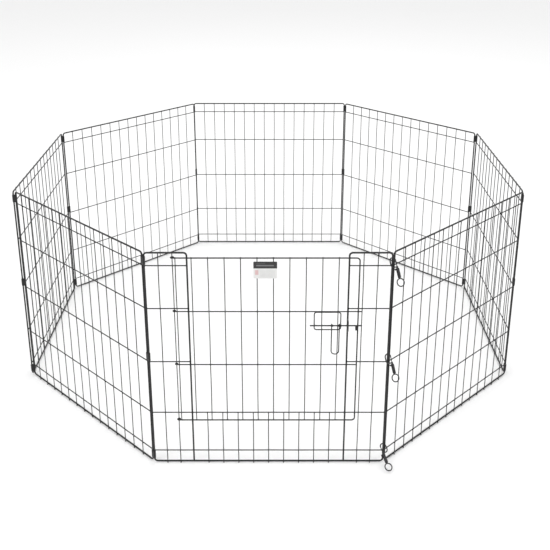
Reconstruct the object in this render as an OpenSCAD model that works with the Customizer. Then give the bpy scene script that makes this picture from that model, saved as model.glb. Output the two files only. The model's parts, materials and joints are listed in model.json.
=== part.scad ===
// Folding pet playpen: eight wire panels in a ring, one of them with a door.
// Millimetres, +Z up, floor at z = 0. Panel 1 holds the door and faces -Y.
// Each panel stands on the lower ends of its uprights.

/* [Panels] */

// Width of a panel over its outer wires
panel_width = 610; // [580:5:760]
// Height of a panel from the floor to the top wire
panel_height = 610; // [560:5:900]
// Thickness of the bent outer wire of a panel
frame_wire = 4.5; // [4:0.1:5]
// Thickness of the level wires
cross_wire = 3; // [2.6:0.1:3.2]
// Thickness of the upright wires
upright_wire = 2.4; // [2:0.1:2.6]
// Number of gaps between the uprights of a plain panel
gap_count = 15; // [11:1:17]
// Radius of the bends in the outer wire
corner_bend = 8; // [6:0.5:12]
// Distance of the first and last level wires from the outer wire
edge_gap = 34; // [30:1:40]
// How far the uprights stand out below the bottom wire
foot = 1.5; // [1:0.1:3]

/* [Hinge clips] */

// Distance between the two wires that a clip holds
wire_spacing = 6.6; // [6.2:0.1:8]
// Height of a hinge clip
clip_height = 22; // [14:1:24]
// Wall thickness of a hinge clip
clip_wall = 1.1; // [0.8:0.1:1.6]
// Play between a clip and the wires in it
clip_play = 0.2; // [0.1:0.05:0.3]

/* [Door] */

// Width of the fixed part of the panel on each side of the doorway
side_width = 104.5; // [98:0.5:110]
// Thickness of the bent wire round the door
door_wire = 3.5; // [3:0.1:3.6]
// Gap between the top wire of the panel and that of the door
door_drop = 11; // [9:0.5:16]
// How far the door hangs below the sill wire
door_lap = 19; // [12:1:28]
// How far the door laps past the doorway on the latch side
latch_lap = 25; // [23:0.5:26]
// Number of upright wires in the door
door_upright_count = 10; // [8:1:10]

/* [Latch] */

// Thickness of the latch bolt
bolt_wire = 3.5; // [3:0.1:3.6]
// Distance of the bolt below the upper level wire of the door
bolt_drop = 36; // [32:1:42]
// Travel of the bolt
bolt_travel = 40; // [39:0.5:40]
// Length of the pull handle below the bolt
handle_length = 82; // [60:1:100]

/* [Snap hooks] */

// Thickness of the hook wire
hook_wire = 3.2; // [3:0.1:3.3]
// Inner width of the hook
hook_gap = 12.3; // [12:0.1:14]
// Outer diameter of the barrel
barrel_diameter = 8.4; // [8:0.1:8.8]
// Diameter of the swivel ring, measured on its wire
ring_diameter = 19.2; // [17:0.1:22]
// Lean of the two upper snap hooks away from upright, in degrees
snap_lean = 32; // [31:1:38]
// Lean of the lowest snap hook, which clears the floor, in degrees
low_snap_lean = 55; // [53:1:60]

/* [Tag] */

// Width of the tag on the door
tag_width = 58; // [50:1:70]
// Height of the tag on the door
tag_height = 45; // [30:1:60]

/* [Hidden] */

$fn = 48;
panel_count = 8;
turn = 360 / panel_count;
touch = 0.1;
light_touch = 0.02;
frame_r = frame_wire / 2;
cross_r = cross_wire / 2;
upright_r = upright_wire / 2;
door_r = door_wire / 2;
bolt_r = bolt_wire / 2;

// Panel layout, seen from outside: x along the panel, y inwards, z up
span = panel_width - frame_wire;
edge_x = span / 2;
low_z = foot + frame_r;
high_z = panel_height - frame_r;
rise = high_z - low_z;
levels = [edge_gap, rise / 4, rise / 2, rise * 3 / 4, rise - edge_gap];
upright_y = -(frame_r + upright_r - touch);
cross_y = upright_y + upright_r + cross_r - touch;
upright_top = high_z + frame_r * 0.3;
apothem = (edge_x + wire_spacing * sin(turn / 2) / sin(turn)) / tan(turn / 2);
corner_radius = apothem * cos(turn / 2) + edge_x * sin(turn / 2);

// Direction of each clip, inwards from the line of the panel before it. A corner that folds inwards has its
// next wire on the inner side, and one that folds outwards has it on the outer side, so the panels lie flat
clip_angles = [45, -45, 45, -45, 45, -45, 0];
function clip_step(i) = wire_spacing
    * [cos(turn / 2) - cos(clip_angles[i - 1]), sin(clip_angles[i - 1]) - sin(turn / 2)];
function spun(v, a) = [v[0] * cos(a) - v[1] * sin(a), v[0] * sin(a) + v[1] * cos(a)];
function ring_shift(i) = i <= 1 ? [0, 0] : ring_shift(i - 1) + spun(clip_step(i - 1), -turn * (i - 2));

// Doorway
post_x = edge_x - side_width;
hinge_x = -(edge_x - side_width * 2 / 3);
sill_z = high_z - levels[3];
door_y = -(frame_r + upright_wire + door_r + 0.5);
door_high = high_z - door_drop;
door_low = sill_z - door_lap;
door_levels = [high_z - levels[1] - 5.3, high_z - levels[2] - 5];
door_right = post_x + latch_lap;
door_left = hinge_x + 7;
door_cross_y = door_y + door_r - cross_r;
door_upright_y = door_y + door_r + upright_r - touch;
door_pitch = (door_right - 50 - (hinge_x + 46)) / (door_upright_count - 1);

// Latch
bolt_z = door_levels[0] - bolt_drop;
guide_wire = 2.8;
guide_r = guide_wire / 2;
guide_y = door_cross_y - cross_r - guide_r + touch;
guide_high = door_levels[0] - cross_r * 0.4;
guide_low = bolt_z - 13;
bolt_y = guide_y - guide_r - bolt_r - 0.3;
guide_right = post_x - 18;
handle_wire = 3;
handle_width = 19;
handle_right = guide_right - guide_r - handle_wire / 2 - 0.6;
guide_left = handle_right - handle_width - bolt_travel - handle_wire / 2 - guide_r - 0.6;
bolt_left = guide_left - 11;
bolt_right = post_x + 35;
staple_r = bolt_r + 0.3 + guide_r;
keeper_half = 14;
keeper_y = bolt_y - bolt_r - 3.4;

// Snap hooks, built upright: x across the hook, z along it, wires through z = 0
hook_r = hook_wire / 2;
hook_x = hook_gap / 2 + hook_r;
hook_straight = 4.2;
hook_low = -(hook_straight + hook_x);
barrel_top = -15;
barrel_low = -39.5;
bore_low = -35.5;
gate_r = 1.25;
gate_top = hook_straight - 0.1;
gate_travel = 8;
knob_z = -17.5;
ring_z = barrel_low - 1.6 - ring_diameter / 2;
snap_levels = [high_z - levels[0], high_z - levels[2], high_z - levels[4]];
rest_y = (hook_x - wire_spacing / 2 * cos(turn / 2)) * tan(turn / 2)
    - wire_spacing / 2 * sin(turn / 2) + cross_y / cos(turn / 2);

// The origin is the centre of the floor space taken up, the lowest snap hook included
front_reach = corner_radius * cos(turn / 2) + hook_x * sin(turn / 2)
    + ((ring_diameter / 2 - ring_z) * sin(low_snap_lean) + 1.5) * cos(turn / 2);
back_reach = apothem + frame_r + upright_wire;
centre_shift = (front_reach - back_reach) / 2;

// Tag
tag_x = hinge_x + 46 + door_pitch * 4.5;
tag_y = door_upright_y - upright_r - 0.02;
tag_z = door_high - 10 - tag_height / 2;

// Places a panel on its side of the ring
module at_panel(i) {
    translate([ring_shift(i)[0], ring_shift(i)[1] + centre_shift, 0])
        rotate([0, 0, -turn * (i - 1)])
            translate([0, -apothem, 0])
                children();
}

// Places the clips that panel i carries at its left end, with x along the line between the two wires
module at_clips(i) {
    at_panel(i)
        translate([-edge_x, 0, 0])
            rotate([0, 0, -clip_angles[i - 1]])
                translate([-wire_spacing / 2, 0, 0])
                    children();
}

// Places something between the two wires of the closing corner, with y pointing inwards
module at_closing() {
    at_panel(1)
        translate([edge_x + wire_spacing / 2 * cos(turn), wire_spacing / 2 * sin(turn), 0])
            rotate([0, 0, turn / 2])
                children();
}

// Straight wire along z
module wire_z(x, y, from, to, d) {
    translate([x, y, from])
        cylinder(h = to - from, d = d);
}

// Straight wire along x
module wire_x(from, to, y, z, d) {
    translate([from, y, z])
        rotate([0, 90, 0])
            cylinder(h = to - from, d = d);
}

// Straight wire along y
module wire_y(x, from, to, z, d) {
    translate([x, from, z])
        rotate([-90, 0, 0])
            cylinder(h = to - from, d = d);
}

// Bent wire standing in the x-z plane: starts at angle a from +x and turns towards +z
module wire_bend(x, y, z, r, d, a, sweep = 90) {
    translate([x, y, z])
        rotate([90, 0, 0])
            rotate([0, 0, a])
                rotate_extrude(angle = sweep)
                    translate([r, 0])
                        circle(d = d);
}

// Outer wire of a plain panel, bent round and welded shut
module plain_frame() {
    b = corner_bend;
    color("#1c1c1e") {
        wire_x(b - edge_x, edge_x - b, 0, low_z, frame_wire);
        wire_x(b - edge_x, edge_x - b, 0, high_z, frame_wire);
        for (side = [-1, 1])
            wire_z(side * edge_x, 0, low_z + b, high_z - b, frame_wire);
        wire_bend(edge_x - b, 0, high_z - b, b, frame_wire, 0);
        wire_bend(b - edge_x, 0, high_z - b, b, frame_wire, 90);
        wire_bend(b - edge_x, 0, low_z + b, b, frame_wire, 180);
        wire_bend(edge_x - b, 0, low_z + b, b, frame_wire, 270);
    }
}

// Uprights of a plain panel, lapped over its outer wire
module plain_uprights() {
    step = span / gap_count;
    color("#242426")
        for (k = [1 : gap_count - 1])
            wire_z(k * step - edge_x, upright_y, 0, upright_top, upright_wire);
}

// Level wires of a plain panel, butted between its outer wires
module plain_cross_wires() {
    reach = edge_x - frame_r + touch / 2;
    color("#202022")
        for (level = levels)
            wire_x(-reach, reach, cross_y, high_z - level, cross_wire);
}

// Outer wire of the door panel: it turns down again on both sides of the doorway
module door_panel_frame() {
    b = corner_bend;
    color("#1c1c1e") {
        wire_x(b - edge_x, edge_x - b, 0, low_z, frame_wire);
        wire_bend(b - edge_x, 0, low_z + b, b, frame_wire, 180);
        wire_bend(edge_x - b, 0, low_z + b, b, frame_wire, 270);
        for (side = [-1, 1]) {
            wire_z(side * edge_x, 0, low_z + b, high_z - b, frame_wire);
            wire_z(side * post_x, 0, low_z + frame_r * 0.7, high_z - b, frame_wire);
        }
        wire_x(b - edge_x, -post_x - b, 0, high_z, frame_wire);
        wire_x(post_x + b, edge_x - b, 0, high_z, frame_wire);
        wire_bend(edge_x - b, 0, high_z - b, b, frame_wire, 0);
        wire_bend(post_x + b, 0, high_z - b, b, frame_wire, 90);
        wire_bend(-post_x - b, 0, high_z - b, b, frame_wire, 0);
        wire_bend(b - edge_x, 0, high_z - b, b, frame_wire, 90);
    }
}

// The two uprights beside the doorway; the inner one on the left carries the door
module stub_uprights(side) {
    color("#242426")
        for (k = [1, 2])
            wire_z(side * (edge_x - side_width * k / 3), upright_y, 0, upright_top, upright_wire);
}

// Uprights below the doorway
module short_uprights() {
    step = post_x / 5;
    color("#242426")
        for (k = [-4 : 4])
            wire_z(k * step, upright_y, 0, sill_z + cross_r * 0.5, upright_wire);
}

// Upper level wires beside the doorway
module stub_cross_wires(side) {
    from = post_x + frame_r - touch / 2;
    to = edge_x - frame_r + touch / 2;
    color("#202022")
        for (level = [levels[0], levels[1], levels[2]])
            wire_x(side > 0 ? from : -to, side > 0 ? to : -from, cross_y, high_z - level, cross_wire);
}

// Lower level wires of the door panel, in three runs between its outer wires
module low_cross_wires() {
    post = frame_r - touch / 2;
    runs = [
        [-edge_x + post, -post_x - post],
        [-post_x + post, post_x - post],
        [post_x + post, edge_x - post]
    ];
    color("#202022")
        for (level = [levels[3], levels[4]], run = runs)
            wire_x(run[0], run[1], cross_y, high_z - level, cross_wire);
}

// Clips of one corner: each is a strip pressed round the outer wires of two panels
module hinge_clips() {
    bore = frame_wire + 2 * clip_play;
    shell = bore + 2 * clip_wall;
    near = (corner_bend + edge_gap - cross_r) / 2;
    middle = high_z - levels[2] + cross_r + 1 + clip_height / 2;
    color("#19191b")
        for (z = [low_z + near, middle, high_z - near])
            translate([0, 0, z - clip_height / 2])
                difference() {
                    linear_extrude(clip_height) {
                        for (side = [-1, 1])
                            translate([side * wire_spacing / 2, 0])
                                circle(d = shell);
                        square([wire_spacing, shell * 0.74], center = true);
                    }
                    for (side = [-1, 1])
                        translate([side * wire_spacing / 2, 0, -1])
                            cylinder(h = clip_height + 2, d = bore);
                    // seam where the ends of the strip meet
                    translate([-0.2, 0, -1])
                        cube([0.4, shell, clip_height + 2]);
                }
}

// The sub-parts, one module each

module frame_1() {
    at_panel(1) door_panel_frame();
}

module left_uprights_1() {
    at_panel(1) stub_uprights(-1);
}

module right_uprights_1() {
    at_panel(1) stub_uprights(1);
}

module short_uprights_1() {
    at_panel(1) short_uprights();
}

module left_cross_wires_1() {
    at_panel(1) stub_cross_wires(-1);
}

module right_cross_wires_1() {
    at_panel(1) stub_cross_wires(1);
}

module low_cross_wires_1() {
    at_panel(1) low_cross_wires();
}

module frame_2() {
    at_panel(2) plain_frame();
}

module uprights_2() {
    at_panel(2) plain_uprights();
}

module cross_wires_2() {
    at_panel(2) plain_cross_wires();
}

module frame_3() {
    at_panel(3) plain_frame();
}

module uprights_3() {
    at_panel(3) plain_uprights();
}

module cross_wires_3() {
    at_panel(3) plain_cross_wires();
}

module frame_4() {
    at_panel(4) plain_frame();
}

module uprights_4() {
    at_panel(4) plain_uprights();
}

module cross_wires_4() {
    at_panel(4) plain_cross_wires();
}

module frame_5() {
    at_panel(5) plain_frame();
}

module uprights_5() {
    at_panel(5) plain_uprights();
}

module cross_wires_5() {
    at_panel(5) plain_cross_wires();
}

module frame_6() {
    at_panel(6) plain_frame();
}

module uprights_6() {
    at_panel(6) plain_uprights();
}

module cross_wires_6() {
    at_panel(6) plain_cross_wires();
}

module frame_7() {
    at_panel(7) plain_frame();
}

module uprights_7() {
    at_panel(7) plain_uprights();
}

module cross_wires_7() {
    at_panel(7) plain_cross_wires();
}

module frame_8() {
    at_panel(8) plain_frame();
}

module uprights_8() {
    at_panel(8) plain_uprights();
}

module cross_wires_8() {
    at_panel(8) plain_cross_wires();
}

module hinge_clips_1() {
    at_clips(1) hinge_clips();
}

module hinge_clips_2() {
    at_clips(2) hinge_clips();
}

module hinge_clips_3() {
    at_clips(3) hinge_clips();
}

module hinge_clips_4() {
    at_clips(4) hinge_clips();
}

module hinge_clips_5() {
    at_clips(5) hinge_clips();
}

module hinge_clips_6() {
    at_clips(6) hinge_clips();
}

module hinge_clips_7() {
    at_clips(7) hinge_clips();
}

// Arc of wire in the y-z plane: starts at angle a from +y and turns towards +z
module side_bend(x, y, z, r, d, a, sweep = 90) {
    translate([x, y, z])
        rotate([0, 0, 90])
            rotate([90, 0, 0])
                rotate([0, 0, a])
                    rotate_extrude(angle = sweep)
                        translate([r, 0])
                            circle(d = d);
}

// Loop on the doorway post that the bolt goes through
module keeper() {
    d = 3;
    b = 3.5;
    color("#1c1c1e")
        at_panel(1) {
            for (side = [-1, 1])
                wire_y(post_x, keeper_y + b, light_touch - frame_r, bolt_z + side * keeper_half, d);
            side_bend(post_x, keeper_y + b, bolt_z + keeper_half - b, b, d, 90);
            side_bend(post_x, keeper_y + b, bolt_z - keeper_half + b, b, d, 180);
            wire_z(post_x, keeper_y, bolt_z - keeper_half + b, bolt_z + keeper_half - b, d);
        }
}

// Bent wire round three sides of the door
module door_frame() {
    b = corner_bend;
    color("#1c1c1e")
        at_panel(1) {
            wire_x(hinge_x, door_right - b, door_y, door_high, door_wire);
            wire_bend(door_right - b, door_y, door_high - b, b, door_wire, 0);
            wire_z(door_right, door_y, door_low + b, door_high - b, door_wire);
            wire_bend(door_right - b, door_y, door_low + b, b, door_wire, 270);
            wire_x(hinge_x, door_right - b, door_y, door_low, door_wire);
        }
}

// Upright wires of the door, on its inner side
module door_uprights() {
    from = door_low - door_r * 0.6;
    to = door_high + door_r * 0.6;
    color("#242426")
        at_panel(1) {
            wire_z(door_left, door_upright_y, from, to, upright_wire);
            for (k = [0 : door_upright_count - 1])
                wire_z(hinge_x + 46 + k * door_pitch, door_upright_y, from, to, upright_wire);
        }
}

// Level wires of the door and the stub past the latch side that stops it at the post
module door_cross_wires() {
    color("#202022")
        at_panel(1) {
            for (level = door_levels)
                wire_x(hinge_x, door_right - door_r + touch / 2, door_cross_y, level, cross_wire);
            wire_x(door_right + door_r - touch / 4, bolt_right, door_cross_y, door_levels[0], cross_wire);
        }
}

// Eyes at the left ends of the level wires of the door, turning on an upright of the panel
module door_hinge_eyes() {
    color("#1c1c1e")
        at_panel(1) {
            for (level = [door_low, door_high])
                hinge_eye(level, upright_y - door_y, door_wire);
            for (level = door_levels)
                hinge_eye(level, upright_y - door_cross_y, cross_wire);
        }
}

module hinge_eye(z, r, d) {
    translate([hinge_x, upright_y, z])
        rotate_extrude(angle = 270)
            translate([r, 0])
                circle(d = d);
}

// Ring of wire under the upper level wire of the door; its sides carry the bolt
module bolt_guide() {
    b = 6;
    color("#1c1c1e")
        at_panel(1) {
            for (z = [guide_low, guide_high])
                wire_x(guide_left + b, guide_right - b, guide_y, z, guide_wire);
            for (x = [guide_left, guide_right])
                wire_z(x, guide_y, guide_low + b, guide_high - b, guide_wire);
            wire_bend(guide_right - b, guide_y, guide_high - b, b, guide_wire, 0);
            wire_bend(guide_left + b, guide_y, guide_high - b, b, guide_wire, 90);
            wire_bend(guide_left + b, guide_y, guide_low + b, b, guide_wire, 180);
            wire_bend(guide_right - b, guide_y, guide_low + b, b, guide_wire, 270);
        }
}

// Two staples that hold the bolt against the sides of the guide
module bolt_staples() {
    color("#19191b")
        at_panel(1)
            for (x = [guide_left, guide_right]) {
                side_bend(x, bolt_y, bolt_z, staple_r, guide_wire, 90, 180);
                for (side = [-1, 1])
                    wire_y(x, bolt_y, guide_y - guide_r + light_touch, bolt_z + side * staple_r, guide_wire);
            }
}

// Bracket on the latch side of the door that the end of the bolt rests in
module bolt_rest() {
    gap = bolt_r + 0.3;
    left = door_right - door_r - 5 + light_touch;
    color("#161618")
        at_panel(1)
            translate([left, 0, bolt_z]) {
                translate([0, bolt_y - gap - 1.6, -gap - 10])
                    cube([5, door_y - bolt_y + gap + 2, 10]);
                translate([0, bolt_y - gap - 1.6, -gap - 1])
                    cube([5, 1.6, gap + 3]);
            }
}

// Sliding bolt with two collars that keep the handle in place along it
module latch_bolt() {
    tip = 1;
    color("#1c1c1e")
        at_panel(1) {
            wire_x(bolt_left + tip, bolt_right - tip, bolt_y, bolt_z, bolt_wire);
            translate([bolt_right - tip, bolt_y, bolt_z])
                rotate([0, 90, 0])
                    cylinder(h = tip, d1 = bolt_wire, d2 = bolt_wire - 1.2);
            translate([bolt_left, bolt_y, bolt_z])
                rotate([0, 90, 0])
                    cylinder(h = tip, d1 = bolt_wire - 1.2, d2 = bolt_wire);
            for (side = [-1, 1])
                translate([handle_right - handle_width / 2 + side * (handle_width / 2 - 2.9), bolt_y, bolt_z])
                    rotate([0, 90, 0])
                        cylinder(h = 1.6, d = bolt_wire + 2, center = true);
        }
}

// U-shaped pull handle, hanging by two eyes from the bolt
module latch_handle() {
    eye = bolt_r + 0.25 + handle_wire / 2;
    half = handle_width / 2;
    low = bolt_z - handle_length + half + handle_wire / 2;
    color("#1c1c1e")
        at_panel(1) {
            for (x = [handle_right - handle_width, handle_right]) {
                translate([x, bolt_y, bolt_z])
                    rotate([0, 90, 0])
                        rotate_extrude()
                            translate([eye, 0])
                                circle(d = handle_wire);
                wire_z(x, bolt_y, low, bolt_z - eye + 0.2, handle_wire - 0.2);
            }
            wire_bend(handle_right - half, bolt_y, low, half, handle_wire - 0.2, 180, 180);
        }
}

// Blank tag on two uprights of the door
module tag_plate() {
    r = 2.5;
    color("#c9c9c6")
        at_panel(1)
            translate([tag_x, tag_y, tag_z])
                rotate([90, 0, 0])
                    linear_extrude(1.2) {
                        square([tag_width - 2 * r, tag_height], center = true);
                        square([tag_width, tag_height - 2 * r], center = true);
                        for (sx = [-1, 1], sy = [-1, 1])
                            translate([sx * (tag_width / 2 - r), sy * (tag_height / 2 - r)])
                                circle(r = r);
                    }
}

// Four hooks on the back of the tag that snap round the uprights
module tag_clips() {
    color("#2a2a2c")
        at_panel(1)
            for (x = [tag_x - door_pitch / 2, tag_x + door_pitch / 2], side = [-1, 1])
                translate([x, 0, tag_z + side * tag_height * 0.3])
                    difference() {
                        translate([-2.4, tag_y, -3])
                            cube([4.8, 2.5, 6]);
                        translate([0, door_upright_y, -4])
                            cylinder(h = 8, r = upright_r + 0.03);
                    }
}

// Height of a snap hook's middle above the level wires that it rests on
function snap_seat(lean) = ((hook_r + cross_r + 0.2) * snap_slant(lean) - rest_y * cos(lean)) / sin(lean);
function snap_slant(lean) = sqrt(pow(cos(lean), 2) + pow(sin(lean) * cos(turn / 2), 2)) / cos(turn / 2);

// Places a snap hook on the closing corner; side is -1 with the barrel on the left, 1 on the right
module at_snap(k) {
    lean = k == 3 ? low_snap_lean : snap_lean;
    side = k == 3 ? -1 : 1;
    at_closing()
        translate([0, 0, snap_levels[k - 1] + snap_seat(lean)])
            rotate([-lean, 0, 0])
                mirror([side > 0 ? 1 : 0, 0, 0])
                    children();
}

// Hook and barrel of a snap hook in one casting, barrel on the left; knob_side is the side of the slot
module snap_hook(knob_side) {
    color("#2b2b2d")
        difference() {
            union() {
                wire_bend(0, 0, hook_straight, hook_x, hook_wire, 0, 180);
                wire_z(hook_x, 0, -hook_straight, hook_straight, hook_wire);
                wire_bend(0, 0, -hook_straight, hook_x, hook_wire, 270);
                wire_x(-hook_x, 0, 0, hook_low, hook_wire);
                translate([-hook_x, 0, barrel_top - 0.5])
                    cylinder(h = hook_low + 2.4 - barrel_top, d = 5.2);
                translate([-hook_x, 0, barrel_top - 1])
                    cylinder(h = 1, d1 = barrel_diameter, d2 = barrel_diameter - 1.6);
                translate([-hook_x, 0, barrel_low + 1])
                    cylinder(h = barrel_top - barrel_low - 2, d = barrel_diameter);
                translate([-hook_x, 0, barrel_low])
                    cylinder(h = 1, d1 = barrel_diameter - 1.6, d2 = barrel_diameter);
            }
            translate([-hook_x, 0, 0]) {
                // hole for the gate, bore for its collar and spring, seat of the swivel
                translate([0, 0, barrel_top - 3])
                    cylinder(h = 20, r = gate_r + 0.2);
                translate([0, 0, bore_low])
                    cylinder(h = barrel_top - 1.4 - bore_low, r = 2.9);
                translate([0, 0, barrel_low + 2])
                    cylinder(h = 3, r = 2.2);
                translate([0, 0, barrel_low - 1])
                    cylinder(h = 4, r = 1.65);
                translate([knob_side > 0 ? 0 : -6, -1.2, knob_z - gate_travel - 1.3])
                    cube([6, 2.4, gate_travel + 2.6]);
            }
        }
}

// Gate pin with its collar and thumb knob
module snap_gate(knob_side) {
    color("#3a3a3c")
        translate([-hook_x, 0, 0]) {
            translate([0, 0, knob_z])
                cylinder(h = gate_top - knob_z, r = gate_r);
            translate([0, 0, knob_z - 1.4])
                cylinder(h = 2.2, r = 2.6);
            translate([0, 0, knob_z - 0.3])
                rotate([0, knob_side * 90, 0]) {
                    cylinder(h = 5.6, r = 1);
                    translate([0, 0, 5.2])
                        cylinder(h = 1.8, r1 = 1.9, r2 = 2.4);
                }
        }
}

// Spring under the gate, drawn pressed together at the bottom of the bore
module snap_spring() {
    color("#6b6b6d")
        translate([-hook_x, 0, bore_low])
            rotate_extrude()
                for (k = [0 : 7])
                    translate([2.4, 0.39 + k * 0.75])
                        circle(d = 0.8, $fn = 24);
}

// Swivel ring on its headed stem
module snap_ring() {
    color("#2b2b2d")
        translate([-hook_x, 0, 0]) {
            translate([0, 0, ring_z])
                rotate([90, 0, 0])
                    rotate_extrude()
                        translate([ring_diameter / 2, 0])
                            circle(d = 3);
            translate([0, 0, barrel_low - 1.9])
                cylinder(h = 1.5, d = 5);
            translate([0, 0, barrel_low - 1])
                cylinder(h = 3.4, r = 1.4);
            translate([0, 0, barrel_low + 2.2])
                cylinder(h = 1.4, r = 2);
        }
}

module snap_hook_1() {
    at_snap(1) snap_hook(1);
}

module snap_gate_1() {
    at_snap(1) snap_gate(1);
}

module snap_spring_1() {
    at_snap(1) snap_spring();
}

module snap_ring_1() {
    at_snap(1) snap_ring();
}

module snap_hook_2() {
    at_snap(2) snap_hook(1);
}

module snap_gate_2() {
    at_snap(2) snap_gate(1);
}

module snap_spring_2() {
    at_snap(2) snap_spring();
}

module snap_ring_2() {
    at_snap(2) snap_ring();
}

module snap_hook_3() {
    at_snap(3) snap_hook(-1);
}

module snap_gate_3() {
    at_snap(3) snap_gate(-1);
}

module snap_spring_3() {
    at_snap(3) snap_spring();
}

module snap_ring_3() {
    at_snap(3) snap_ring();
}

frame_1();
left_uprights_1();
right_uprights_1();
short_uprights_1();
left_cross_wires_1();
right_cross_wires_1();
low_cross_wires_1();
frame_2();
uprights_2();
cross_wires_2();
frame_3();
uprights_3();
cross_wires_3();
frame_4();
uprights_4();
cross_wires_4();
frame_5();
uprights_5();
cross_wires_5();
frame_6();
uprights_6();
cross_wires_6();
frame_7();
uprights_7();
cross_wires_7();
frame_8();
uprights_8();
cross_wires_8();
hinge_clips_1();
hinge_clips_2();
hinge_clips_3();
hinge_clips_4();
hinge_clips_5();
hinge_clips_6();
hinge_clips_7();
keeper();
door_frame();
door_uprights();
door_cross_wires();
door_hinge_eyes();
bolt_guide();
bolt_staples();
bolt_rest();
latch_bolt();
latch_handle();
tag_plate();
tag_clips();
snap_hook_1();
snap_gate_1();
snap_spring_1();
snap_ring_1();
snap_hook_2();
snap_gate_2();
snap_spring_2();
snap_ring_2();
snap_hook_3();
snap_gate_3();
snap_spring_3();
snap_ring_3();
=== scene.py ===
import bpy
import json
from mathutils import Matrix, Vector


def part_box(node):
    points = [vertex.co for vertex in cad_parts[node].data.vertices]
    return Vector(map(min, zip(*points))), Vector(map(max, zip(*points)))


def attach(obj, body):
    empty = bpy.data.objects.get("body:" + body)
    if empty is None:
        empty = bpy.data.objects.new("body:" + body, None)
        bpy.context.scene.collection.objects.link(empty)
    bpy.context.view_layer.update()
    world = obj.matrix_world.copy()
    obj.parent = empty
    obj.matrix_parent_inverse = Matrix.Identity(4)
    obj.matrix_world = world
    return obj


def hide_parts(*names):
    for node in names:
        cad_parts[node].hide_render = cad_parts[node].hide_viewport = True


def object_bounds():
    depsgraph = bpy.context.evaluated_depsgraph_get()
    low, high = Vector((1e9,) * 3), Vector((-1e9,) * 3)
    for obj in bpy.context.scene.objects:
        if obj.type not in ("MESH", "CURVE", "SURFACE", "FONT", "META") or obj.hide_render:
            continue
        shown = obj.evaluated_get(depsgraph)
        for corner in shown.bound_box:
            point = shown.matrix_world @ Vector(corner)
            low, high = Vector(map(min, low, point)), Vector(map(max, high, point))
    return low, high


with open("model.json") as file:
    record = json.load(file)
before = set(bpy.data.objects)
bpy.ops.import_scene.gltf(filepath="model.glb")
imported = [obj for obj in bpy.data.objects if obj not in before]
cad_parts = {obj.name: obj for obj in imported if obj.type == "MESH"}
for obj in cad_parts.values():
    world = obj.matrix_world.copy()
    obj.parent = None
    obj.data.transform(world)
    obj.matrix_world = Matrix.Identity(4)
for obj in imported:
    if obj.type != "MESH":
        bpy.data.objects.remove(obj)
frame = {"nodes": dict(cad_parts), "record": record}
cad_bounds = [list(corner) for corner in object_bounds()]

import json
import math
import random

import bmesh
import bpy
from mathutils import Matrix, Quaternion, Vector

bl_info = {
    "name": "Folding pet playpen",
    "version": (1, 0, 0),
    "blender": (4, 5, 0),
    "location": "View3D > Sidebar > Playpen",
    "description": "Wires, clips, door, latch, snap hooks and tag of a folding wire playpen, and its studio",
    "category": "Object",
}

PANEL_COUNT = 8
TURN = math.radians(360 / PANEL_COUNT)
CLIP_WAIST = 0.80
ROWS_IN_TAG = 17.0
SIDE_BEAD = (0.0012, 0.0019, 0.0019)


def middle(node, axis):
    """Middle of a node's box along an axis."""
    low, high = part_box(node)
    return (low[axis] + high[axis]) / 2


def half(node, axis):
    """Half the size of a node's box along an axis."""
    low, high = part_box(node)
    return (high[axis] - low[axis]) / 2


# Sizes of the wires and their places in a panel: x along the panel, y inwards, z up
FRONT_X = middle("frame_1", 0)
FRONT_Y = middle("frame_1", 1)
OUTER_R = half("frame_1", 1)
EDGE = half("frame_1", 0) - OUTER_R
LOW_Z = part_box("frame_1")[0][2] + OUTER_R
HIGH_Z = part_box("frame_1")[1][2] - OUTER_R
RISE = HIGH_Z - LOW_Z
UPRIGHT_R = half("left_uprights_1", 1)
UPRIGHT_Y = middle("left_uprights_1", 1) - FRONT_Y
LEVEL_R = half("left_cross_wires_1", 1)
LEVEL_Y = middle("left_cross_wires_1", 1) - FRONT_Y
FOOT_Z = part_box("uprights_5")[0][2]
TIP_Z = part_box("uprights_5")[1][2]
TOP_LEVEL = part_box("left_cross_wires_1")[1][2] - LEVEL_R
LOW_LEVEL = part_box("low_cross_wires_1")[0][2] + LEVEL_R
LEVELS = [TOP_LEVEL, HIGH_Z - RISE / 4, HIGH_Z - RISE / 2, HIGH_Z - RISE * 3 / 4, LOW_LEVEL]
POST_X = middle("keeper", 0) - FRONT_X
HINGE_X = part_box("left_uprights_1")[1][0] - UPRIGHT_R - FRONT_X
DOOR_R = half("door_frame", 1)
DOOR_Y = middle("door_frame", 1) - FRONT_Y


# Settings that a user would change

class PlaypenWireSettings(bpy.types.PropertyGroup):
    sides: bpy.props.IntProperty(
        name="Sides", description="Number of sides of a wire's section", default=12, min=8, max=24)
    corner_bend: bpy.props.FloatProperty(
        name="Corner bend", description="Radius of the bends in the outer wires",
        default=0.008, unit="LENGTH")
    bow: bpy.props.FloatProperty(
        name="Bow", description="How far a thin wire strays from straight between two welds",
        default=0.0005, unit="LENGTH")
    gap_count: bpy.props.IntProperty(
        name="Gaps", description="Gaps between the uprights of a plain panel", default=15)
    bead: bpy.props.FloatProperty(
        name="Weld bead", description="Radius of the weld bead where two wires cross",
        default=0.0019, unit="LENGTH")


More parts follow.
